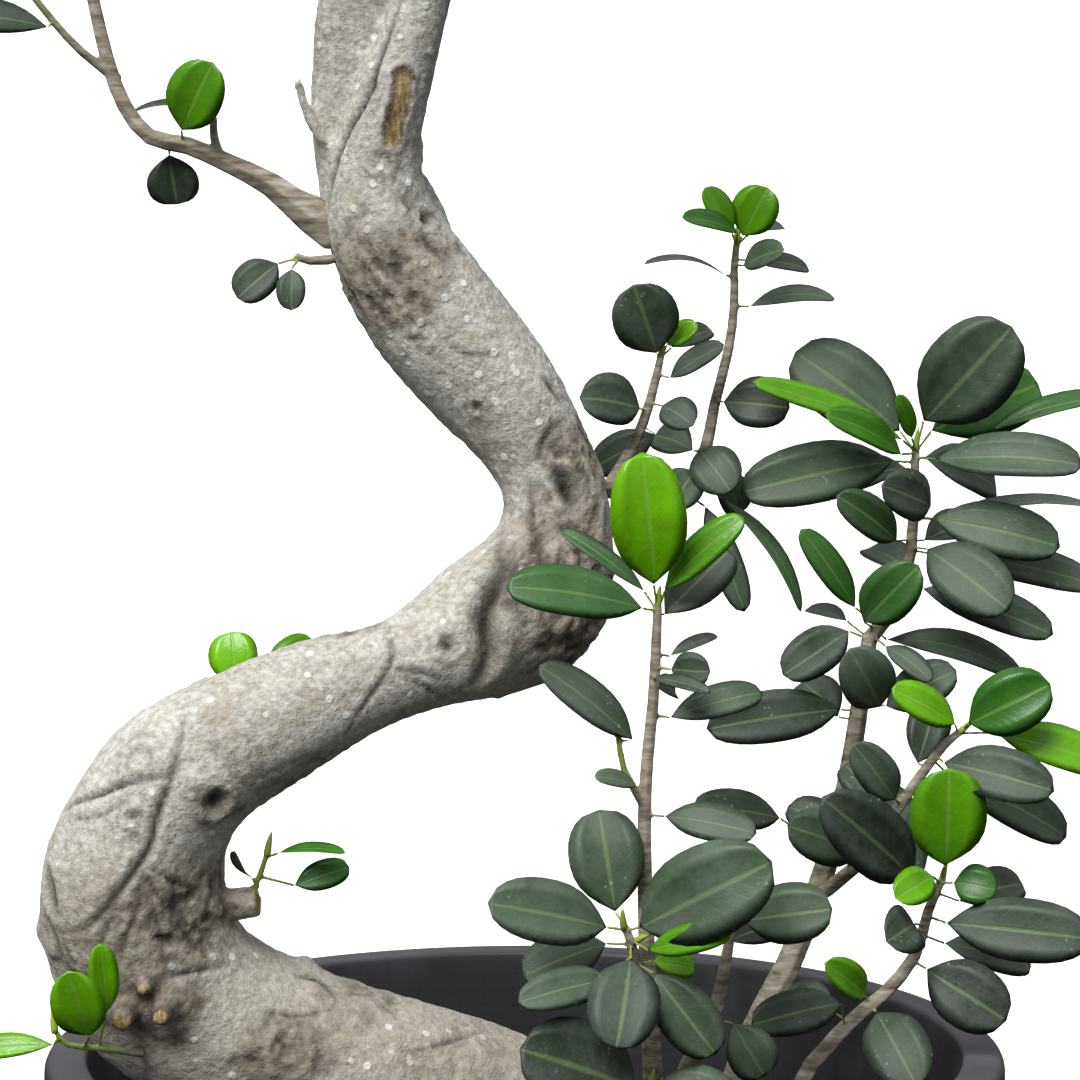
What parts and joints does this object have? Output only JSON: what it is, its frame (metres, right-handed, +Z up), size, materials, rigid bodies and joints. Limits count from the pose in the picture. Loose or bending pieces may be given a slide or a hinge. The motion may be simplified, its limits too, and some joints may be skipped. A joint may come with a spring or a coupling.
{
  "type": "potted bonsai tree",
  "caption": "Curved ficus bonsai with a pale S-bend trunk, side shoots and a leafy crown, planted in a round dark nursery pot with a rolled rim",
  "frame": {"origin": "centre of the pot's underside, on the surface it stands on", "axes": "+X to the right seen from the front, +Y away from the front, +Z up the tree"},
  "size_m": [0.4265, 0.3503, 0.9669],
  "materials": {
    "pot_plastic": "moulded charcoal polypropylene, satin",
    "potting_mix": "damp granular potting mix",
    "bark": "smooth pale ficus bark with lenticels, creases and scars",
    "foliage": "leathery evergreen leaves on green and woody twigs"
  },
  "bodies": {
    "root": {"pot": "pot_plastic", "soil": "potting_mix", "trunk": "bark", "left_branch": "foliage", "base_sprout": "foliage", "snag_sprout": "foliage", "bend_sprout": "foliage", "collar_sprout": "foliage", "front_shoot": "foliage", "low_shoot": "foliage", "lowest_shoot": "foliage", "side_shoot": "foliage", "knee_branch": "foliage", "right_stem": "foliage", "arm_shoot": "foliage", "edge_shoot": "foliage", "crown_shoot_1": "foliage", "crown_shoot_2": "foliage", "crown_shoot_3": "foliage", "crown_shoot_4": "foliage", "crown_shoot_5": "foliage", "crown_shoot_6": "foliage", "crown_shoot_7": "foliage", "crown_shoot_8": "foliage", "crown_shoot_9": "foliage", "crown_shoot_10": "foliage", "crown_shoot_11": "foliage", "crown_shoot_12": "foliage"}
  },
  "joints": []
}
